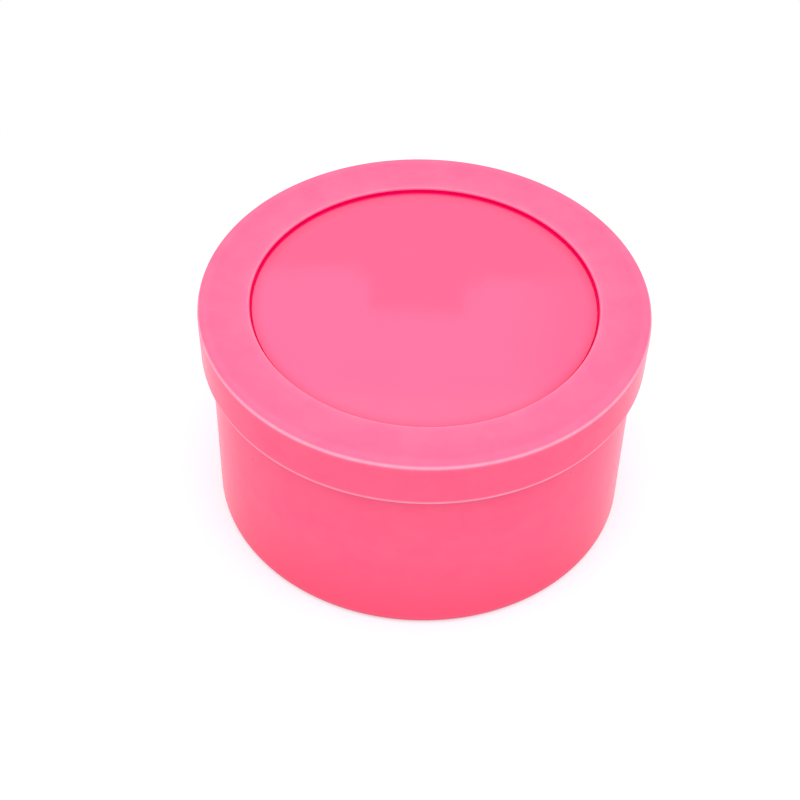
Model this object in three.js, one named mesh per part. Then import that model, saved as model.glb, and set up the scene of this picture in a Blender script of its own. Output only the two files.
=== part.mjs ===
// Round push-fit plastic box: a moulded cup, and a lid made of a moulded ring with a flat panel set into it.
// Millimetres, +Z up. The origin is on the table, at the centre of the cup's foot.
import * as THREE from "three";

// Cup
const cupLipDiameter = 76.0;
const cupHeight = 42.1;
const cupWall = 1.6;
const cupFloor = 1.8;
const cupDraft = 1.0; // degrees by which the wall opens upwards
const cupCornerRounding = 1.5; // outside, where the wall meets the table
const cupFloorRounding = 1.2; // inside, where the wall meets the floor
const cupLipRounding = 0.5;
const footWidth = 2.4; // flat ring that stands on the table
const footLift = 0.6; // clearance under the middle of the floor
const footRounding = 0.3;
const gateDiameter = 3.0; // dimple where the moulding was filled
const gateDepth = 0.4;

// Lid ring
const slipClearance = 0.3; // radial, between the cup's lip and the lid's skirt
const lidHeight = 9.9;
const lidPlate = 1.8;
const skirtWall = 1.7; // where the skirt leaves the plate
const skirtOuterDraft = 2.0; // degrees by which the skirt narrows downwards
const skirtInnerDraft = 0.5; // degrees by which the skirt's inside opens downwards
const lidTopRounding = 1.0;
const skirtEdgeRounding = 0.8; // outside, at the skirt's lower edge
const skirtBreak = 0.25; // inside, at the same edge
const rimWidth = 9.2; // flat rim, from the lid's side to the recess
const rimRounding = 0.3; // where the rim drops into the recess
const ledgeRounding = 0.3;
const recessDepth = 1.8; // from the rim down to the ledge
const ledgeWidth = 2.0; // how far the ledge reaches under the panel
const ledgeThickness = 1.0;
const ledgeShoulder = 2.0; // material outside the recess that carries the ledge

// Lid panel
const panelClearance = 0.4; // radial gap round the panel
const panelThickness = 0.9;
const panelRounding = 0.35;

// Colour and gloss
const plasticColour = 0xff6a90;
const plasticMetalness = 0.0;
const satinRoughness = 0.42;
const glossRoughness = 0.18;

// Fineness of the turned shapes
const turnSegments = 72;
const arcSegments = 3;
const roundingShare = 0.4; // a rounded edge takes at most this share of its wall
const mainRoundingShare = 0.65; // and the larger of two unlike ones takes this share
const lesserRoundingShare = 0.25;

// Sizes that follow from the ones above
const slope = (degrees) => Math.tan(THREE.MathUtils.degToRad(degrees));
const limited = (rounding, wall, share = roundingShare) => Math.min(rounding, wall * share);

const cupLipRadius = cupLipDiameter / 2;
const cupBaseRadius = cupLipRadius - cupHeight * slope(cupDraft);
const cupFloorTop = footLift + cupFloor;
const cupInnerLipRadius = cupLipRadius - cupWall;
const cupInnerFloorRadius = cupInnerLipRadius - (cupHeight - cupFloorTop) * slope(cupDraft);
const footInnerRadius = cupBaseRadius - cupCornerRounding - footWidth;

const skirtInnerRadius = cupLipRadius + slipClearance;
const lidRadius = skirtInnerRadius + skirtWall;
const skirtDrop = lidHeight - lidPlate;
const skirtEdgeOuterRadius = lidRadius - lidHeight * slope(skirtOuterDraft);
const skirtEdgeInnerRadius = skirtInnerRadius + skirtDrop * slope(skirtInnerDraft);
const skirtEdgeWall = skirtEdgeOuterRadius - skirtEdgeInnerRadius;
const recessRadius = lidRadius - rimWidth;
const ledgeTop = lidPlate - recessDepth;
const ledgeBottom = ledgeTop - ledgeThickness;
const ledgeInnerRadius = recessRadius - ledgeWidth;
const ledgeOuterRadius = recessRadius + ledgeShoulder;

const panelRadius = recessRadius - panelClearance;

// One corner of a profile: its distance from the axis, its height, and the radius that rounds it off.
function corner(radius, height, rounding = 0) {
  return { point: new THREE.Vector2(radius, height), rounding };
}

// The points that stand for one corner: the corner itself, or an arc that touches both of its sides.
function cornerPoints(before, here, after) {
  if (here.rounding === 0) {
    return [here.point];
  }
  const back = before.point.clone().sub(here.point).normalize();
  const ahead = after.point.clone().sub(here.point).normalize();
  const halfAngle = Math.acos(back.dot(ahead)) / 2;
  const reach = here.rounding / Math.tan(halfAngle);
  const centreDistance = here.rounding / Math.sin(halfAngle);
  const bisector = back.clone().add(ahead).normalize();
  const centre = here.point.clone().addScaledVector(bisector, centreDistance);
  const start = here.point.clone().addScaledVector(back, reach);
  const end = here.point.clone().addScaledVector(ahead, reach);
  const first = start.clone().sub(centre);
  const last = end.clone().sub(centre);
  const turn = Math.atan2(first.cross(last), first.dot(last));
  const points = [];
  for (let step = 0; step <= arcSegments; step += 1) {
    points.push(start.clone().rotateAround(centre, (turn * step) / arcSegments));
  }
  return points;
}

// A solid turned about +Z. An open profile runs from the axis to the axis, and a closed one goes round the hole.
function turned(name, corners, closed, material) {
  const points = corners.flatMap((here, index) => {
    const before = corners.at(index - 1);
    const after = corners[(index + 1) % corners.length];
    return cornerPoints(before, here, after);
  });
  if (closed) {
    points.push(points[0].clone());
  }
  const geometry = new THREE.LatheGeometry(points, turnSegments);
  geometry.rotateX(Math.PI / 2);
  const mesh = new THREE.Mesh(geometry, material);
  mesh.name = name;
  return mesh;
}

// Finishes: one pink polypropylene, satin where the mould was textured and glossy on the panel
const satinPlastic = new THREE.MeshStandardMaterial({
  color: plasticColour,
  roughness: satinRoughness,
  metalness: plasticMetalness,
});
const glossPlastic = new THREE.MeshStandardMaterial({
  color: plasticColour,
  roughness: glossRoughness,
  metalness: plasticMetalness,
});

// The cup: under the floor and out to the table, up the wall, over the lip, down the inside and along the floor.
function makeCup() {
  const lipRounding = limited(cupLipRounding, cupWall);
  const corners = [
    corner(0, footLift + gateDepth),
    corner(gateDiameter / 2, footLift + gateDepth),
    corner(gateDiameter / 2, footLift),
    corner(footInnerRadius, footLift, limited(footRounding, footLift)),
    corner(footInnerRadius, 0, limited(footRounding, footLift)),
    corner(cupBaseRadius, 0, cupCornerRounding),
    corner(cupLipRadius, cupHeight, lipRounding),
    corner(cupInnerLipRadius, cupHeight, lipRounding),
    corner(cupInnerFloorRadius, cupFloorTop, cupFloorRounding),
    corner(0, cupFloorTop),
  ];
  return turned("cup", corners, false, satinPlastic);
}

// The lid's ring, with height zero where its plate rests on the lip: up the skirt's outside, across the rim,
// down into the recess, round the ledge, along the plate's underside and down the skirt's inside.
function makeLidRing() {
  const edgeRounding = limited(skirtEdgeRounding, skirtEdgeWall, mainRoundingShare);
  const edgeBreak = limited(skirtBreak, skirtEdgeWall, lesserRoundingShare);
  const ledgeEdge = limited(ledgeRounding, ledgeThickness);
  const corners = [
    corner(skirtEdgeInnerRadius, -skirtDrop, edgeBreak),
    corner(skirtEdgeOuterRadius, -skirtDrop, edgeRounding),
    corner(lidRadius, lidPlate, limited(lidTopRounding, skirtWall + lidPlate)),
    corner(recessRadius, lidPlate, limited(rimRounding, recessDepth)),
    corner(recessRadius, ledgeTop),
    corner(ledgeInnerRadius, ledgeTop, ledgeEdge),
    corner(ledgeInnerRadius, ledgeBottom, ledgeEdge),
    corner(ledgeOuterRadius, ledgeBottom, ledgeEdge),
    corner(ledgeOuterRadius, 0),
    corner(skirtInnerRadius, 0, slipClearance),
  ];
  return turned("lid_ring", corners, true, satinPlastic);
}

// The panel: a thin disc that lies on the ledge, its top a little below the rim.
function makeLidPanel() {
  const panelTop = ledgeTop + panelThickness;
  const corners = [
    corner(0, ledgeTop),
    corner(panelRadius, ledgeTop),
    corner(panelRadius, panelTop, limited(panelRounding, panelThickness)),
    corner(0, panelTop),
  ];
  return turned("lid_panel", corners, false, glossPlastic);
}

// Assembly: the lid sits on the cup's lip.
const lid = new THREE.Group();
lid.add(makeLidRing(), makeLidPanel());
lid.position.z = cupHeight;

const box = new THREE.Group();
box.add(makeCup(), lid);

export default box;
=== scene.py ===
# %% [markdown]
# # A round push-fit box in pink plastic
# This lesson dresses a small lidded box: a moulded cup, and a lid made of a moulded ring with a glossy
# disc set into it. The engineering model comes in first, as a fixed frame. Everything made below stands
# in its place, in metres, and rides on the same bodies, so that the lid still lifts off when the model
# moves.

# %% Load the frame
import math
from typing import NamedTuple

import bmesh
import bpy
from mathutils import Matrix, Vector


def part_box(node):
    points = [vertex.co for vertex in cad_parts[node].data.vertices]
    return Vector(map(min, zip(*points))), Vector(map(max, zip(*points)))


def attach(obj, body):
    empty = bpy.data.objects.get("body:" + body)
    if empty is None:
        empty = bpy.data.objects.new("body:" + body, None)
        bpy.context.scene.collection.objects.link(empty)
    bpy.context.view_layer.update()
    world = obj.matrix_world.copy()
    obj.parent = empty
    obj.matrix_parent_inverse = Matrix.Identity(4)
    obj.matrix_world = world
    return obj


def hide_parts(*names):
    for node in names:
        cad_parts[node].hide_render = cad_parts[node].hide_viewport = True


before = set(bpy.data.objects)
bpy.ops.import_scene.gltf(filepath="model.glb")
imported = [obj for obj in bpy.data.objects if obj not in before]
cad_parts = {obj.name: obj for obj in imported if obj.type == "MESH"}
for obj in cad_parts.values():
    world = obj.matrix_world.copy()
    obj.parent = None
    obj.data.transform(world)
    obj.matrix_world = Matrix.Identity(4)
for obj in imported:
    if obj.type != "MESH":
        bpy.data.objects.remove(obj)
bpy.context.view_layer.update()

# %% [markdown]
# ## Sizes
# The frame gives the heights and the disc's radius. Walls, roundings and clearances are the ones a
# moulder would choose for a stiff little box, in millimetres. Every other size follows from these, so
# the pieces keep fitting each other when one of them changes.

# %% Measure the frame and name the sizes
MM = 0.001

lip_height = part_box("cup")[1].z / MM
lid_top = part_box("lid_ring")[1].z / MM
skirt_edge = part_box("lid_ring")[0].z / MM
panel_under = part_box("lid_panel")[0].z / MM
panel_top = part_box("lid_panel")[1].z / MM
panel_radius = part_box("lid_panel")[1].x / MM

cup_lip_radius = 38.0
slip_clearance = 0.3
skirt_wall = 1.7
skirt_inner_radius = cup_lip_radius + slip_clearance
lid_radius = skirt_inner_radius + skirt_wall
print(f"box {2 * lid_radius:.1f} mm across and {lid_top:.1f} mm high")
print(f"disc {2 * panel_radius:.1f} mm across")

# %% [markdown]
# ## Turning a profile
# All three pieces are round, so each is one profile turned about the upright axis, as a mould maker
# would turn the core and the cavity on a lathe. A Screw modifier could do this. Building the mesh
# directly gives more say over the roundings and over which finish each stretch of the surface has.
#
# A profile is a list of corners, and each rounded corner becomes an arc that touches both of its sides.

# %% Write the corner helpers
ARC_STEPS = 12
SATIN, POLISHED, RECESS_SHADE = range(3)


class RubAndHighlight(NamedTuple):
    """Painted highlight and rubbing on a corner, where on its bend and how far, and painted sheen beside
    it.
    """
    wear_and_highlight: float = 0.0
    mark_peak_at: float = 0.5
    reach: float = 0.32
    painted_sheen_before: float = 0.0
    painted_sheen_after: float = 0.0


class Corner(NamedTuple):
    """One corner of a profile, in millimetres. Its finish is that of the stretch after it."""
    point: Vector
    rounding: float
    finish: int
    rub_and_highlight: RubAndHighlight


def corner(radius, height, rounding=0.0, finish=SATIN, rub_and_highlight=RubAndHighlight()):
    """A corner at a distance from the axis and at a height."""
    return Corner(Vector((radius, height)), rounding, finish, rub_and_highlight)


def bend(before, here, after):
    """The points of one corner: the corner itself, or an arc that touches both of its sides."""
    if here.rounding == 0.0:
        return [here.point]
    back = (before.point - here.point).normalized()
    ahead = (after.point - here.point).normalized()
    half_angle = math.acos(back.dot(ahead)) / 2
    touch = here.rounding / math.tan(half_angle)
    centre = here.point + (back + ahead).normalized() * here.rounding / math.sin(half_angle)
    start = here.point + back * touch - centre
    end = here.point + ahead * touch - centre
    turn = math.atan2(start.x * end.y - start.y * end.x, start.dot(end))
    return [centre + Matrix.Rotation(turn * step / ARC_STEPS, 2) @ start for step in range(ARC_STEPS + 1)]


print("each rounded corner is an arc of", ARC_STEPS, "steps")

# %% [markdown]
# Each arc has a holding point on either side: that short extra stretch keeps the smooth shading of the
# arc from leaking across the flat faces next to it. On a short stretch the holding points of its two
# ends move up to their arcs, so that they never pass each other.
#
# A corner can also carry pale marks: rubbing by hands and tables on the cup, and painted highlights on
# the lid's edges. It says how pale, where along the bend the mark is heaviest, from 0 at its start to 1
# at its end, how far along the bend it reaches from there, and how faint a painted sheen it leaves on the
# stretches before and after the bend. An image of these marks could be painted instead, but marks that
# are worked out with the profile stay on their edges when a size changes.

# %% Write the wear and profile helpers
HOLD_SHARE = 0.5
STRETCH_SHARE = 0.3
LONGEST_STEP = 3.0


def hold_point(end, neighbour, rounding):
    """A holding point on the stretch from the end of an arc to its neighbour, and how far out it lies."""
    stretch = neighbour - end
    hold = min(rounding * HOLD_SHARE, stretch.length * STRETCH_SHARE)
    return end + stretch.normalized() * hold, hold


def wear_and_highlight_at(rub_and_highlight, share):
    """The wear and painted highlight at a share of a bend. Shares below 0 and above 1 lie on the
    stretches beside it.
    """
    haze = rub_and_highlight.painted_sheen_before if share < rub_and_highlight.mark_peak_at else rub_and_highlight.painted_sheen_after
    return max(haze, rub_and_highlight.wear_and_highlight * (1 - abs(share - rub_and_highlight.mark_peak_at) / rub_and_highlight.reach))


def held_bend(here, finish_before, last_point, arc, next_point):
    """One bend with its holding points, as points with their wear and painted highlight and the finish
    after each.
    """
    if len(arc) == 1:
        return [(here.point, here.rub_and_highlight.wear_and_highlight, here.finish)]
    arc_length = (arc[1] - arc[0]).length * ARC_STEPS
    first, first_hold = hold_point(arc[0], last_point, here.rounding)
    last, last_hold = hold_point(arc[-1], next_point, here.rounding)
    places = [(first, -first_hold / arc_length)]
    places += [(point, step / ARC_STEPS) for step, point in enumerate(arc)]
    places += [(last, 1 + last_hold / arc_length)]
    marks = []
    for point, share in places:
        finish = here.finish if share >= 1 else finish_before
        marks.append((point, wear_and_highlight_at(here.rub_and_highlight, share), finish))
    return marks


def profile(corners, closed):
    """A whole profile as points with their wear and painted highlight and the finish after each, long
    stretches divided.
    """
    afters = corners[1:] + corners[:1]
    arcs = [bend(corners[index - 1], here, afters[index]) for index, here in enumerate(corners)]
    next_arcs = arcs[1:] + arcs[:1]
    marks = []
    for index, here in enumerate(corners):
        finish_before = corners[index - 1].finish
        marks += held_bend(here, finish_before, arcs[index - 1][-1], arcs[index], next_arcs[index][0])
    ends = marks[1:] + marks[:1] if closed else marks[1:]
    steps = []
    for (start, wear_and_highlight, finish), (end, end_wear_and_highlight, _) in zip(marks, ends):
        count = max(1, math.ceil((end - start).length / LONGEST_STEP))
        for step in range(count):
            share = step / count
            steps.append((start.lerp(end, share), wear_and_highlight + (end_wear_and_highlight - wear_and_highlight) * share, finish))
    return steps if closed else steps + marks[-1:]


print("no stretch of a profile is longer than", LONGEST_STEP, "mm")

# %% [markdown]
# The turned mesh is made ring by ring. A point on the axis is a single vertex with triangles fanning
# out, and every other point is a ring of vertices with four-sided faces between the rings. The wear and
# painted highlight go into a vertex attribute, which a material can read by its name.

# %% Write the turning helper
TURN_SEGMENTS = 192
ON_AXIS = 0.001


def turned(name, corners, closed=False):
    """A smooth mesh object turned about +Z from a profile, its faces indexed by the finish of each
    stretch.
    """
    steps = profile(corners, closed)
    mesh = bmesh.new()
    wear_and_highlight_layer = mesh.verts.layers.float.new("wear_and_highlight")
    rings = []
    for point, wear_and_highlight, _ in steps:
        ring = []
        for step in range(1 if point.x < ON_AXIS else TURN_SEGMENTS):
            angle = 2 * math.pi * step / TURN_SEGMENTS
            across = math.cos(angle) * point.x
            along = math.sin(angle) * point.x
            vertex = mesh.verts.new(Vector((across, along, point.y)) * MM)
            vertex[wear_and_highlight_layer] = wear_and_highlight
            ring.append(vertex)
        rings.append(ring)
    uppers = rings[1:] + rings[:1] if closed else rings[1:]
    for low, high, (_, _, finish) in zip(rings, uppers, steps):
        for step in range(TURN_SEGMENTS):
            after = (step + 1) % TURN_SEGMENTS
            if len(low) == 1:
                around = [low[0], high[after], high[step]]
            elif len(high) == 1:
                around = [low[step], low[after], high[0]]
            else:
                around = [low[step], low[after], high[after], high[step]]
            face = mesh.faces.new(around)
            face.smooth = True
            face.material_index = finish
    data = bpy.data.meshes.new(name)
    mesh.to_mesh(data)
    mesh.free()
    piece = bpy.data.objects.new(name, data)
    bpy.context.collection.objects.link(piece)
    print(f"{name}: {len(steps)} rings, {len(data.polygons)} faces")
    return piece


print("each ring of a turned piece has", TURN_SEGMENTS, "vertices")

# %% [markdown]
# ## The cup
# The cup is one shot of plastic. Its wall leans out by a degree so that it slips off the core, it stands
# on a narrow flat ring rather than on its whole underside, and a dimple in the middle keeps the stub of
# the filling gate off the table. The outside is satin, from a textured cavity, and the inside is
# smoother, from a polished core. It could be a cylinder hollowed with a Solidify modifier, but the
# turned profile gives the foot, the gate and the lip their own roundings in one closed mesh.

# %% Make the cup
cup_wall = 1.6
cup_floor = 1.8
cup_draft = math.tan(math.radians(1.0))
cup_corner_rounding = 1.5
cup_floor_rounding = 1.2
cup_lip_rounding = 0.5
foot_width = 2.4
foot_lift = 0.6
foot_rounding = 0.2
gate_radius = 1.5
gate_depth = 0.4
gate_rounding = 0.1
gate_stub_radius = 0.6
gate_stub_height = 0.25
foot_rub = RubAndHighlight(wear_and_highlight=0.07, mark_peak_at=0.75, reach=0.6)
lip_rub = RubAndHighlight(wear_and_highlight=0.45)


def make_cup():
    base_radius = cup_lip_radius - lip_height * cup_draft
    floor_top = foot_lift + cup_floor
    inner_lip_radius = cup_lip_radius - cup_wall
    inner_floor_radius = inner_lip_radius - (lip_height - floor_top) * cup_draft
    foot_inner_radius = base_radius - cup_corner_rounding - foot_width
    gate_top = foot_lift + gate_depth
    stub_bottom = gate_top - gate_stub_height
    return turned("cup_shell", [
        corner(0, stub_bottom),
        corner(gate_stub_radius, stub_bottom, gate_rounding),
        corner(gate_stub_radius, gate_top, gate_rounding),
        corner(gate_radius, gate_top, gate_rounding),
        corner(gate_radius, foot_lift, gate_rounding),
        corner(foot_inner_radius, foot_lift, foot_rounding),
        corner(foot_inner_radius, 0, foot_rounding),
        corner(base_radius, 0, cup_corner_rounding, rub_and_highlight=foot_rub),
        corner(cup_lip_radius, lip_height, cup_lip_rounding, rub_and_highlight=lip_rub),
        corner(inner_lip_radius, lip_height, cup_lip_rounding, POLISHED),
        corner(inner_floor_radius, floor_top, cup_floor_rounding, POLISHED),
        corner(0, floor_top, finish=POLISHED),
    ])


cup_shell = make_cup()

# %% [markdown]
# ## The lid's ring
# The ring is the rim that the eye sees from above, the skirt that slips over the cup, and a hidden ledge
# that carries the disc. The skirt narrows a little downwards outside and opens a little downwards
# inside.
#
# Three edges carry painted highlights: the skirt's lower edge, the lid's top edge, which has a full
# millimetre of rounding, and the edge of the recess. They draw the pale lines round the lid, and a faint
# painted sheen beside the lines fades across the rim. Inside the recess the profile goes down the wall,
# over the glue that fills most of the gap round the disc, and down a close pocket to the ledge.

# %% Make the lid's ring
skirt_outer_draft = math.tan(math.radians(2.0))
skirt_inner_draft = math.tan(math.radians(0.5))
lid_top_rounding = 1.0
skirt_edge_rounding = 0.8
skirt_break = 0.25
rim_rounding = 0.35
panel_clearance = 0.4
glue_depth = 0.2
glue_meniscus = 0.15
pocket_clearance = 0.02
ledge_width = 2.0
ledge_thickness = 1.0
ledge_shoulder = 2.0
ledge_rounding = 0.3
# The lid's three edges get painted highlights, and the rim a faint painted sheen beside them.
skirt_painted_highlight = RubAndHighlight(wear_and_highlight=0.8, mark_peak_at=0.8, reach=0.42)
lid_top_painted_highlight = RubAndHighlight(wear_and_highlight=0.7, mark_peak_at=0.28, painted_sheen_after=0.04)
recess_painted_highlight = RubAndHighlight(wear_and_highlight=0.2, mark_peak_at=0.2, reach=0.6, painted_sheen_before=0.07)
rim_painted_sheen = RubAndHighlight(wear_and_highlight=0.03)
painted_sheen_width = 1.2


def make_lid_ring():
    plate_under = lip_height
    edge_outer_radius = lid_radius - (lid_top - skirt_edge) * skirt_outer_draft
    edge_inner_radius = skirt_inner_radius + (plate_under - skirt_edge) * skirt_inner_draft
    recess_radius = panel_radius + panel_clearance
    glue_top = panel_top - glue_depth
    pocket_radius = panel_radius + pocket_clearance
    ledge_under = panel_under - ledge_thickness
    ledge_inner_radius = recess_radius - ledge_width
    ledge_outer_radius = recess_radius + ledge_shoulder
    return turned("lid_ring_shell", [
        corner(edge_inner_radius, skirt_edge, skirt_break),
        corner(edge_outer_radius, skirt_edge, skirt_edge_rounding, rub_and_highlight=skirt_painted_highlight),
        corner(lid_radius, lid_top, lid_top_rounding, rub_and_highlight=lid_top_painted_highlight),
        corner(lid_radius - lid_top_rounding - painted_sheen_width, lid_top),
        corner(recess_radius + rim_rounding + painted_sheen_width, lid_top, rub_and_highlight=rim_painted_sheen),
        corner(recess_radius, lid_top, rim_rounding, RECESS_SHADE, recess_painted_highlight),
        corner(recess_radius, glue_top, glue_meniscus, RECESS_SHADE),
        corner(pocket_radius, glue_top),
        corner(pocket_radius, panel_under),
        corner(ledge_inner_radius, panel_under, ledge_rounding, POLISHED),
        corner(ledge_inner_radius, ledge_under, ledge_rounding, POLISHED),
        corner(ledge_outer_radius, ledge_under, ledge_rounding, POLISHED),
        corner(ledge_outer_radius, plate_under, slip_clearance, POLISHED),
        corner(skirt_inner_radius, plate_under, slip_clearance, POLISHED),
    ], closed=True)


lid_ring_shell = make_lid_ring()

# %% [markdown]
# ## The lid's disc
# The disc is die-cut from glossy sheet and lies on the ledge, nearly a millimetre below the rim. Glue
# fills the gap round it almost to its top, and the narrow step that is left, with the wall behind it
# darkened by painted shade, reads as the dark line in the lid. A die leaves edges that are nearly crisp,
# so they are eased by a tenth of a millimetre or less. A Bevel modifier would ease them too, but could
# not keep top and underside apart.

# %% Make the lid's disc
panel_rounding = 0.06
panel_break = 0.1


def make_lid_panel():
    return turned("lid_panel_disc", [
        corner(0, panel_under),
        corner(panel_radius, panel_under, panel_break),
        corner(panel_radius, panel_top, panel_rounding),
        corner(0, panel_top),
    ])


lid_panel_disc = make_lid_panel()

# %% [markdown]
# ## Colours and nodes
# Colours are written as they look on a screen, as sRGB hex values, and one function turns them into the
# linear numbers that shader sockets take. One more function adds a node with its settings and links,
# which keeps each material below as short as its idea. A Mix node has one set of sockets for each kind
# of data, so the colour ones are named here by their places.

# %% Write the material helpers
PINK = "ff6487"
FACTOR, COLOUR_A, COLOUR_B, COLOUR_OUT = 0, 6, 7, 2


def linear(hex_colour):
    """The linear RGBA of an sRGB hex value such as ff6487."""
    channels = []
    for start in (0, 2, 4):
        shown = int(hex_colour[start:start + 2], 16) / 255
        channels.append(shown / 12.92 if shown <= 0.04045 else ((shown + 0.055) / 1.055) ** 2.4)
    return channels + [1.0]


def add(tree, kind, settings=None, links=None):
    """Adds one node. Settings name its properties or inputs, and links join outputs to its inputs."""
    node = tree.nodes.new(kind)
    for name, value in (settings or {}).items():
        if hasattr(node, str(name)):
            setattr(node, name, value)
        else:
            node.inputs[name].default_value = value
    for name, output in (links or {}).items():
        tree.links.new(output, node.inputs[name])
    return node


def new_material(name):
    """An empty node material, its tree and its output node."""
    material = bpy.data.materials.new(name)
    material.use_nodes = True
    material.node_tree.nodes.clear()
    output = add(material.node_tree, "ShaderNodeOutputMaterial")
    return material, material.node_tree, output


def per_metre(millimetres):
    """The texture scale at which one feature of a pattern measures that many millimetres."""
    return 1 / (millimetres * MM)


print("the pink in linear light:", [round(value, 3) for value in linear(PINK)])

# %% [markdown]
# ## Satin moulded polypropylene
# The outside of the cup and the ring is polypropylene, pigmented hot pink in the mass. To the eye there
# is a faint drift in the colour where the pigment mixed unevenly, and a stray speck or two. The cup's
# foot and lip are rubbed paler by handling, and the lid's edges carry painted highlights. Painted shade
# deepens the colour towards the foot of the wall, where the floor shades it. A painted image could show
# all this, but noise in object coordinates needs no unwrapping, and its size stays true in millimetres.

# %% Mix the satin plastic's colour
PINK_DEEP = "ff5e84"
PINK_RUBBED_AND_HIGHLIT = "ffbcd4"
PINK_SPECK = "ff4872"
PINK_FOOT_SHADE = "ff587b"
DRIFT_SIZE = 6.0
DRIFT_LOW = 0.35
DRIFT_HIGH = 0.65
FOOT_SHADE_BOTTOM = 3.0
FOOT_SHADE_TOP = 17.0
SPECK_SPACING = 10.0
SPECK_RADIUS = 0.3
RUB_AND_HIGHLIGHT_SIZE = 3.0
RUB_AND_HIGHLIGHT_LOW = 0.3
RUB_AND_HIGHLIGHT_HIGH = 0.7
RUB_AND_HIGHLIGHT_LEAST = 0.8


def satin_colour(tree, place):
    """The colour of the satin plastic, as a node's output."""
    drift = add(tree, "ShaderNodeTexNoise", {
        "Scale": per_metre(DRIFT_SIZE), "Detail": 5.0, "Roughness": 0.65,
    }, {"Vector": place})
    drift_share = add(tree, "ShaderNodeMapRange", {"From Min": DRIFT_LOW, "From Max": DRIFT_HIGH},
                      {"Value": drift.outputs["Fac"]})
    pigment = add(tree, "ShaderNodeMix", {
        "data_type": "RGBA", COLOUR_A: linear(PINK_DEEP), COLOUR_B: linear(PINK),
    }, {FACTOR: drift_share.outputs["Result"]})
    # Painted shade darkens the colour towards the foot of the wall.
    height = add(tree, "ShaderNodeSeparateXYZ", {}, {"Vector": place})
    foot_shade_share = add(tree, "ShaderNodeMapRange", {
        "From Min": FOOT_SHADE_TOP * MM, "From Max": FOOT_SHADE_BOTTOM * MM,
    }, {"Value": height.outputs["Z"]})
    foot_shaded = add(tree, "ShaderNodeMix", {"data_type": "RGBA", COLOUR_B: linear(PINK_FOOT_SHADE)},
                   {FACTOR: foot_shade_share.outputs["Result"], COLOUR_A: pigment.outputs[COLOUR_OUT]})
    # Here and there a grain of pigment did not disperse, and shows as a small deeper speck.
    grains = add(tree, "ShaderNodeTexVoronoi", {"Scale": per_metre(SPECK_SPACING)}, {"Vector": place})
    speck = add(tree, "ShaderNodeMapRange", {
        "From Min": SPECK_RADIUS / SPECK_SPACING, "From Max": SPECK_RADIUS / SPECK_SPACING / 2,
    }, {"Value": grains.outputs["Distance"]})
    flecked = add(tree, "ShaderNodeMix", {"data_type": "RGBA", COLOUR_B: linear(PINK_SPECK)},
                  {FACTOR: speck.outputs["Result"], COLOUR_A: foot_shaded.outputs[COLOUR_OUT]})
    # Rubbing and painted highlights are uneven along an edge, in stretches of a few millimetres.
    rub_and_highlight_patches = add(tree, "ShaderNodeTexNoise", {"Scale": per_metre(RUB_AND_HIGHLIGHT_SIZE), "Detail": 2.0},
               {"Vector": place})
    rub_and_highlight_share = add(tree, "ShaderNodeMapRange", {
        "From Min": RUB_AND_HIGHLIGHT_LOW, "From Max": RUB_AND_HIGHLIGHT_HIGH, "To Min": RUB_AND_HIGHLIGHT_LEAST,
    }, {"Value": rub_and_highlight_patches.outputs["Fac"]})
    # The attribute holds rubbing on the cup's foot and lip, and painted highlights on the lid's edges.
    wear_and_highlight = add(tree, "ShaderNodeAttribute", {"attribute_name": "wear_and_highlight"})
    rubbed_and_highlit = add(tree, "ShaderNodeMath", {"operation": "MULTIPLY"},
                 {0: wear_and_highlight.outputs["Fac"], 1: rub_and_highlight_share.outputs["Result"]})
    colour = add(tree, "ShaderNodeMix", {"data_type": "RGBA", COLOUR_B: linear(PINK_RUBBED_AND_HIGHLIT)},
                 {FACTOR: rubbed_and_highlit.outputs["Value"], COLOUR_A: flecked.outputs[COLOUR_OUT]})
    return colour.outputs[COLOUR_OUT]


print(f"the colour drifts over {DRIFT_SIZE} mm, and is deeper below {FOOT_SHADE_TOP} mm")

# %% [markdown]
# The plastic was moulded against a lightly spark-eroded cavity. That gives a soft sheen rather than a
# mirror, and a slight orange peel that is less than a hundredth of a millimetre high. Modelling relief
# that shallow would take millions of faces, so it is bump.
#
# Polypropylene's IOR is 1.49, and a satin moulding's roughness is near 0.3. Matched to the box, the
# sheen is a little tighter than that, and so weak that the specular level is far below its usual half.

# %% Make the satin plastic
POLYPROPYLENE_IOR = 1.49
SATIN_SPECULAR = 0.06
SATIN_SMOOTHEST = 0.2
SATIN_ROUGHEST = 0.26
SHEEN_SIZE = 4.0
GRAIN_SIZE = 0.5
GRAIN_HEIGHT = 0.003
PEEL_SIZE = 2.4
PEEL_HEIGHT = 0.009


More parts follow.
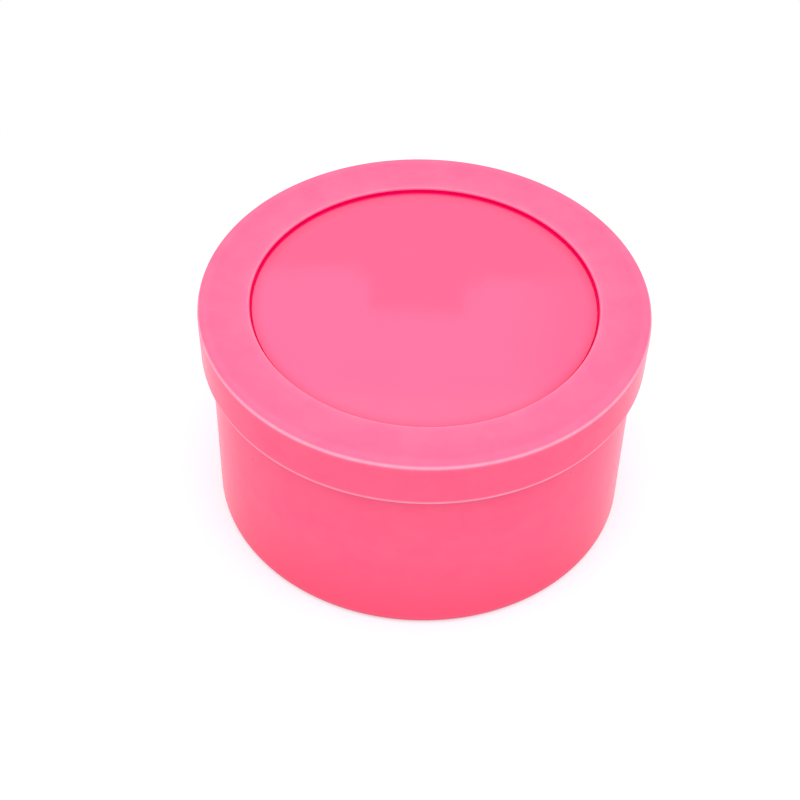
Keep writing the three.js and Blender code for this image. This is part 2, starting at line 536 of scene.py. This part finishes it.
def satin_plastic():
    material, tree, output = new_material("satin moulded polypropylene")
    place = add(tree, "ShaderNodeTexCoord").outputs["Object"]
    sheen = add(tree, "ShaderNodeTexNoise", {"Scale": per_metre(SHEEN_SIZE), "Detail": 2.0},
                {"Vector": place})
    roughness = add(tree, "ShaderNodeMapRange", {"To Min": SATIN_SMOOTHEST, "To Max": SATIN_ROUGHEST},
                    {"Value": sheen.outputs["Fac"]})
    # The real grain is near 0.15 mm, too fine to show here, so it is drawn at half a millimetre.
    grain = add(tree, "ShaderNodeTexNoise", {"Scale": per_metre(GRAIN_SIZE), "Detail": 1.0},
                {"Vector": place})
    grain_bump = add(tree, "ShaderNodeBump", {"Distance": GRAIN_HEIGHT * MM},
                     {"Height": grain.outputs["Fac"]})
    peel = add(tree, "ShaderNodeTexNoise", {"Scale": per_metre(PEEL_SIZE), "Detail": 1.0},
               {"Vector": place})
    peel_bump = add(tree, "ShaderNodeBump", {"Distance": PEEL_HEIGHT * MM},
                    {"Height": peel.outputs["Fac"], "Normal": grain_bump.outputs["Normal"]})
    shader = add(tree, "ShaderNodeBsdfPrincipled", {
        "IOR": POLYPROPYLENE_IOR, "Specular IOR Level": SATIN_SPECULAR,
    }, {
        "Base Color": satin_colour(tree, place),
        "Roughness": roughness.outputs["Result"],
        "Normal": peel_bump.outputs["Normal"],
    })
    tree.links.new(shader.outputs["BSDF"], output.inputs["Surface"])
    return material


satin = satin_plastic()
print("made", satin.name)

# %% [markdown]
# ## Polished moulded polypropylene
# The same plastic against a polished core: the inside of the cup and the underside of the lid. It is
# smoother, with the fine rings that turning and polishing left in the steel. A Wave texture draws rings
# about the axis, and its phase runs on by 20 for each unit of distance, so its scale is worked out from
# that.

# %% Make the polished plastic
POLISHED_ROUGHNESS = 0.16
POLISH_SPACING = 1.0
POLISH_HEIGHT = 0.004
WAVE_PHASE = 20


def polished_plastic():
    material, tree, output = new_material("polished moulded polypropylene")
    place = add(tree, "ShaderNodeTexCoord").outputs["Object"]
    drift = add(tree, "ShaderNodeTexNoise", {"Scale": per_metre(DRIFT_SIZE), "Detail": 3.0},
                {"Vector": place})
    drift_share = add(tree, "ShaderNodeMapRange", {"From Min": DRIFT_LOW, "From Max": DRIFT_HIGH},
                      {"Value": drift.outputs["Fac"]})
    pigment = add(tree, "ShaderNodeMix", {
        "data_type": "RGBA", COLOUR_A: linear(PINK_DEEP), COLOUR_B: linear(PINK),
    }, {FACTOR: drift_share.outputs["Result"]})
    # The polishing rings are near 0.1 mm apart, too fine to show, so they are drawn a millimetre apart.
    rings = add(tree, "ShaderNodeTexWave", {
        "wave_type": "RINGS", "rings_direction": "Z", "Distortion": 0.6,
        "Scale": per_metre(POLISH_SPACING) * 2 * math.pi / WAVE_PHASE,
    }, {"Vector": place})
    bump = add(tree, "ShaderNodeBump", {"Distance": POLISH_HEIGHT * MM}, {"Height": rings.outputs["Fac"]})
    shader = add(tree, "ShaderNodeBsdfPrincipled", {
        "IOR": POLYPROPYLENE_IOR, "Roughness": POLISHED_ROUGHNESS,
    }, {
        "Base Color": pigment.outputs[COLOUR_OUT],
        "Normal": bump.outputs["Normal"],
    })
    tree.links.new(shader.outputs["BSDF"], output.inputs["Surface"])
    return material


polished = polished_plastic()
print("made", polished.name)

# %% [markdown]
# ## Painted shade in the recess
# The wall of the recess and the top of the glue below it are painted dark, as painted shade for the
# shade that falls in the narrow step round the disc. It shows only as the dark line round the disc, a
# little uneven in tone, with a glue bead that is bumped where it was thicker.

# %% Paint the shade in the recess
RECESS_SHADE_DEEP = "d80056"
RECESS_SHADE_LIGHT = "ea0062"
GLUE_SPECULAR = 0.05
GLUE_ROUGHNESS = 0.45
BEAD_SIZE = 5.0
BEAD_HEIGHT = 0.02


def recess_shade_plastic():
    material, tree, output = new_material("recess wall and glue in painted shade")
    place = add(tree, "ShaderNodeTexCoord").outputs["Object"]
    bead = add(tree, "ShaderNodeTexNoise", {"Scale": per_metre(BEAD_SIZE), "Detail": 2.0},
               {"Vector": place})
    # Painted shade: the recess wall and the glue top are coloured dark, a little unevenly.
    colour = add(tree, "ShaderNodeMix", {
        "data_type": "RGBA", COLOUR_A: linear(RECESS_SHADE_DEEP), COLOUR_B: linear(RECESS_SHADE_LIGHT),
    }, {FACTOR: bead.outputs["Fac"]})
    bump = add(tree, "ShaderNodeBump", {"Distance": BEAD_HEIGHT * MM}, {"Height": bead.outputs["Fac"]})
    shader = add(tree, "ShaderNodeBsdfPrincipled", {
        "IOR": POLYPROPYLENE_IOR, "Specular IOR Level": GLUE_SPECULAR, "Roughness": GLUE_ROUGHNESS,
    }, {
        "Base Color": colour.outputs[COLOUR_OUT],
        "Normal": bump.outputs["Normal"],
    })
    tree.links.new(shader.outputs["BSDF"], output.inputs["Surface"])
    return material


recess_shade_material = recess_shade_plastic()
print("made", recess_shade_material.name)

# %% [markdown]
# ## Glossy polypropylene sheet
# The disc is cut from calendered sheet, pressed between mirror-finished rolls. It reflects the lights
# with clear edges, bent only by a slow waviness in the sheet. Sheet comes from another batch than the
# mouldings, and this one is a shade deeper. Painted shade deepens the colour in a band along its edge,
# where the wall of the recess shades it.

# %% Make the glossy sheet
SHEET_PINK = "ff5079"
SHEET_PINK_DEEP = "ff4c76"
SHEET_PINK_EDGE_SHADE = "ff3863"
SHEET_ROUGHNESS = 0.05
SHEET_DRIFT_SIZE = 12.0
SHEET_WAVE_SIZE = 8.0
SHEET_WAVE_HEIGHT = 0.008
EDGE_SHADE_WIDTH = 2.5
EDGE_SHADE_POWER = 2.0


def gloss_sheet():
    material, tree, output = new_material("calendered polypropylene sheet")
    place = add(tree, "ShaderNodeTexCoord").outputs["Object"]
    drift = add(tree, "ShaderNodeTexNoise", {
        "Scale": per_metre(SHEET_DRIFT_SIZE), "Detail": 6.0, "Roughness": 0.6,
    }, {"Vector": place})
    pigment = add(tree, "ShaderNodeMix", {
        "data_type": "RGBA", COLOUR_A: linear(SHEET_PINK_DEEP), COLOUR_B: linear(SHEET_PINK),
    }, {FACTOR: drift.outputs["Fac"]})
    # Painted shade along the disc's edge follows the distance from the axis, and is deepest at the edge
    # itself.
    flat_place = add(tree, "ShaderNodeVectorMath", {"operation": "MULTIPLY", 1: (1, 1, 0)}, {0: place})
    from_axis = add(tree, "ShaderNodeVectorMath", {"operation": "LENGTH"},
                    {0: flat_place.outputs["Vector"]})
    edge_shade_share = add(tree, "ShaderNodeMapRange", {
        "From Min": (panel_radius - EDGE_SHADE_WIDTH) * MM, "From Max": panel_radius * MM,
    }, {"Value": from_axis.outputs["Value"]})
    edge_shade = add(tree, "ShaderNodeMath", {"operation": "POWER", 1: EDGE_SHADE_POWER},
                 {0: edge_shade_share.outputs["Result"]})
    colour = add(tree, "ShaderNodeMix", {"data_type": "RGBA", COLOUR_B: linear(SHEET_PINK_EDGE_SHADE)},
                 {FACTOR: edge_shade.outputs["Value"], COLOUR_A: pigment.outputs[COLOUR_OUT]})
    waves = add(tree, "ShaderNodeTexNoise", {"Scale": per_metre(SHEET_WAVE_SIZE), "Detail": 1.0},
                {"Vector": place})
    bump = add(tree, "ShaderNodeBump", {"Distance": SHEET_WAVE_HEIGHT * MM},
               {"Height": waves.outputs["Fac"]})
    shader = add(tree, "ShaderNodeBsdfPrincipled", {
        "IOR": POLYPROPYLENE_IOR, "Roughness": SHEET_ROUGHNESS,
    }, {
        "Base Color": colour.outputs[COLOUR_OUT],
        "Normal": bump.outputs["Normal"],
    })
    tree.links.new(shader.outputs["BSDF"], output.inputs["Surface"])
    return material


gloss = gloss_sheet()
print("made", gloss.name)

# %% [markdown]
# ## Seating the pieces
# Each turned piece has its finishes in the order that the profile numbers them. It then takes the place
# of its engineering solid and rides on that solid's body: the cup stays, and ring and disc lift off
# together. The disc has only one finish, which comes first there.

# %% Dress the pieces and seat them on the frame
for piece, node, body, slot, finishes in (
    (cup_shell, "cup", "cup", "satin_plastic", (satin, polished)),
    (lid_ring_shell, "lid_ring", "lid", "satin_plastic", (satin, polished, recess_shade_material)),
    (lid_panel_disc, "lid_panel", "lid", "gloss_plastic", (gloss,)),
):
    for finish in finishes:
        piece.data.materials.append(finish)
    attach(piece, body)
    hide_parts(node)
    print("seated", piece.name, "on", body)

# %% [markdown]
# ## The stage
# The box stands on pale paper, which takes its shadow. The camera and reflections see the paper lifted a
# little, so that it is white but for the shadow, and further out it fades into plain white, so that no
# horizon shows. Light Path nodes do this, and the paper still lights the box only as paper would.

# %% Lay the floor
WHITE = "ffffff"
PAPER = "c0c0c5"
FLOOR_HALF = 3.0
FLOOR_NEAR = 0.05
FLOOR_FAR = 0.14
FLOOR_LIFT = 0.45


def make_floor():
    data = bpy.data.meshes.new("floor")
    edge = FLOOR_HALF
    corners = [(-edge, -edge, 0), (edge, -edge, 0), (edge, edge, 0), (-edge, edge, 0)]
    data.from_pydata(corners, [], [(0, 1, 2, 3)])
    floor = bpy.data.objects.new("floor", data)
    bpy.context.collection.objects.link(floor)
    material, tree, output = new_material("matt white paper")
    path = add(tree, "ShaderNodeLightPath")
    place = add(tree, "ShaderNodeTexCoord").outputs["Object"]
    distance = add(tree, "ShaderNodeVectorMath", {"operation": "LENGTH"}, {0: place})
    fade = add(tree, "ShaderNodeMapRange", {
        "interpolation_type": "SMOOTHSTEP", "From Min": FLOOR_NEAR, "From Max": FLOOR_FAR,
    }, {"Value": distance.outputs["Value"]})
    mirrored = add(tree, "ShaderNodeMath", {"operation": "MAXIMUM"},
                   {0: path.outputs["Is Glossy Ray"], 1: path.outputs["Is Transmission Ray"]})
    seen = add(tree, "ShaderNodeMath", {"operation": "MAXIMUM"},
               {0: path.outputs["Is Camera Ray"], 1: mirrored.outputs["Value"]})
    seen_fade = add(tree, "ShaderNodeMath", {"operation": "MULTIPLY"},
                    {0: fade.outputs["Result"], 1: seen.outputs["Value"]})
    lift = add(tree, "ShaderNodeMath", {"operation": "MULTIPLY", 1: FLOOR_LIFT},
               {0: seen.outputs["Value"]})
    paper = add(tree, "ShaderNodeBsdfDiffuse", {"Color": linear(PAPER)})
    glow = add(tree, "ShaderNodeEmission", {"Color": linear(WHITE)}, {"Strength": lift.outputs["Value"]})
    near = add(tree, "ShaderNodeAddShader", {}, {0: paper.outputs["BSDF"], 1: glow.outputs["Emission"]})
    white = add(tree, "ShaderNodeEmission", {"Color": linear(WHITE), "Strength": 1.0})
    surface = add(tree, "ShaderNodeMixShader", {}, {
        0: seen_fade.outputs["Value"], 1: near.outputs["Shader"], 2: white.outputs["Emission"],
    })
    tree.links.new(surface.outputs["Shader"], output.inputs["Surface"])
    data.materials.append(material)
    return floor


floor = make_floor()
print(floor.name, 2 * FLOOR_HALF, "m square")

# %% [markdown]
# The room is plain white. It lights the box evenly from all round, as a light tent does, and it is also
# what the camera sees above the paper.

# %% Light the room
ROOM_LIGHT = 1.0


def make_room():
    room = bpy.data.worlds.new("white room")
    bpy.context.scene.world = room
    room.use_nodes = True
    tree = room.node_tree
    tree.nodes.clear()
    output = add(tree, "ShaderNodeOutputWorld")
    background = add(tree, "ShaderNodeBackground", {"Color": linear(WHITE), "Strength": ROOM_LIGHT})
    tree.links.new(background.outputs["Background"], output.inputs["Surface"])
    return room


room = make_room()
print(room.name, "at", ROOM_LIGHT)

# %% [markdown]
# A broad softbox hangs over the box and a little in front of it. It lights the top and the paper, and
# the paper lights the walls. The power of a lamp follows from how bright its face should look, so that
# it can be resized without changing that.

# %% Hang the ceiling softbox
CEILING_PLACE = Vector((0.03, -0.25, 0.85))
CEILING_WIDTH = 2.0
CEILING_DEPTH = 1.0
CEILING_BRIGHTNESS = 1.2
LID_CENTRE = Vector((0, 0, lid_top * MM))


def softbox(name, centre, aim, width, height, brightness, colour):
    """A rectangular lamp that faces aim, sized in metres, whose face has the given brightness."""
    data = bpy.data.lights.new(name, "AREA")
    data.shape = "RECTANGLE"
    data.size = width
    data.size_y = height
    data.energy = brightness * math.pi * width * height
    data.color = linear(colour)[:3]
    lamp = bpy.data.objects.new(name, data)
    bpy.context.collection.objects.link(lamp)
    lamp.location = centre
    lamp.rotation_euler = (aim - centre).to_track_quat("-Z", "Y").to_euler()
    lamp.visible_camera = False
    print(f"{name}: {data.energy:.2f} W")


softbox("ceiling softbox", CEILING_PLACE, LID_CENTRE, CEILING_WIDTH, CEILING_DEPTH,
        CEILING_BRIGHTNESS, WHITE)

# %% [markdown]
# The glossy disc mirrors what stands behind the box, so cool panels stand there, side by side, in
# metres. A gap between them, with a step in each of its shoulders, gives the darker notch in the disc's
# reflection. A whiter panel carries on above them, and to the right they fade in a few narrow steps.

# %% Stand the panels behind
COOL_WHITE = "b8c2ff"
PALE_COOL_WHITE = "dde4ff"
PANELS_BACK = 0.6
PANELS_TOP = 0.9
PANELS_JOIN = 0.665
PANELS_HALF_WIDTH = 0.35
LEFT_BOTTOM = 0.571
RIGHT_BOTTOM = 0.5755
GAP_LEFT = -0.022
GAP_RIGHT = 0.03
GAP_TOP = 0.601
LEFT_STEP = 0.006
RIGHT_STEP = 0.01
STEP_RISE = 0.007
RIGHT_END = 0.06
FADE_STEPS = 5
FADE_WIDTH = 0.007
PANEL_BRIGHTNESS = 1.2
FAR_PANEL_BRIGHTNESS = 0.4


def stand_panel(name, left, right, bottom, top=PANELS_JOIN,
                brightness=PANEL_BRIGHTNESS, colour=COOL_WHITE):
    """An upright softbox behind the box, between the given sides, that faces forwards."""
    centre = Vector(((left + right) / 2, PANELS_BACK, (bottom + top) / 2))
    in_front = centre - Vector((0, PANELS_BACK, 0))
    softbox(name, centre, in_front, right - left, top - bottom, brightness, colour)


stand_panel("left panel", -PANELS_HALF_WIDTH, GAP_LEFT - LEFT_STEP, LEFT_BOTTOM)
stand_panel("left step", GAP_LEFT - LEFT_STEP, GAP_LEFT, LEFT_BOTTOM + STEP_RISE)
stand_panel("middle panel", GAP_LEFT, GAP_RIGHT, GAP_TOP)
stand_panel("right step", GAP_RIGHT, GAP_RIGHT + RIGHT_STEP, RIGHT_BOTTOM + STEP_RISE)
stand_panel("right panel", GAP_RIGHT + RIGHT_STEP, RIGHT_END, RIGHT_BOTTOM)
fade_left = RIGHT_END
for step in range(1, FADE_STEPS + 1):
    faded = PANEL_BRIGHTNESS + (FAR_PANEL_BRIGHTNESS - PANEL_BRIGHTNESS) * step / FADE_STEPS
    fade_right = PANELS_HALF_WIDTH if step == FADE_STEPS else fade_left + FADE_WIDTH
    stand_panel(f"fading panel {step}", fade_left, fade_right, RIGHT_BOTTOM, brightness=faded)
    fade_left = fade_right
stand_panel("upper panel", -PANELS_HALF_WIDTH, PANELS_HALF_WIDTH, PANELS_JOIN, PANELS_TOP,
            colour=PALE_COOL_WHITE)

# %% [markdown]
# ## The camera
# The photograph was taken with a long lens that looks down by 45 degrees, so the camera is placed where
# the rim, the recess and the foot of the box line up with it. It looks straight ahead of itself with no
# lens shift, and leans by a degree and a half, as a hand-held camera does.

# %% Set the camera
CAMERA_PLACE = Vector((-3.92, -280.07, 301.03)) * MM
CAMERA_DIP = math.radians(45.21)
CAMERA_LEAN = math.radians(1.41)
CAMERA_LENS = 97.2
CAMERA_NEAREST = 0.01

camera_data = bpy.data.cameras.new("camera")
camera_data.lens = CAMERA_LENS
camera_data.clip_start = CAMERA_NEAREST
camera = bpy.data.objects.new("camera", camera_data)
bpy.context.collection.objects.link(camera)
dip = Matrix.Rotation(math.pi / 2 - CAMERA_DIP, 4, "X")
lean = Matrix.Rotation(CAMERA_LEAN, 4, "Z")
camera.matrix_world = Matrix.Translation(CAMERA_PLACE) @ dip @ lean
bpy.context.scene.camera = camera
bpy.context.scene.view_settings.view_transform = "Standard"
print("camera at", [round(value, 3) for value in CAMERA_PLACE])
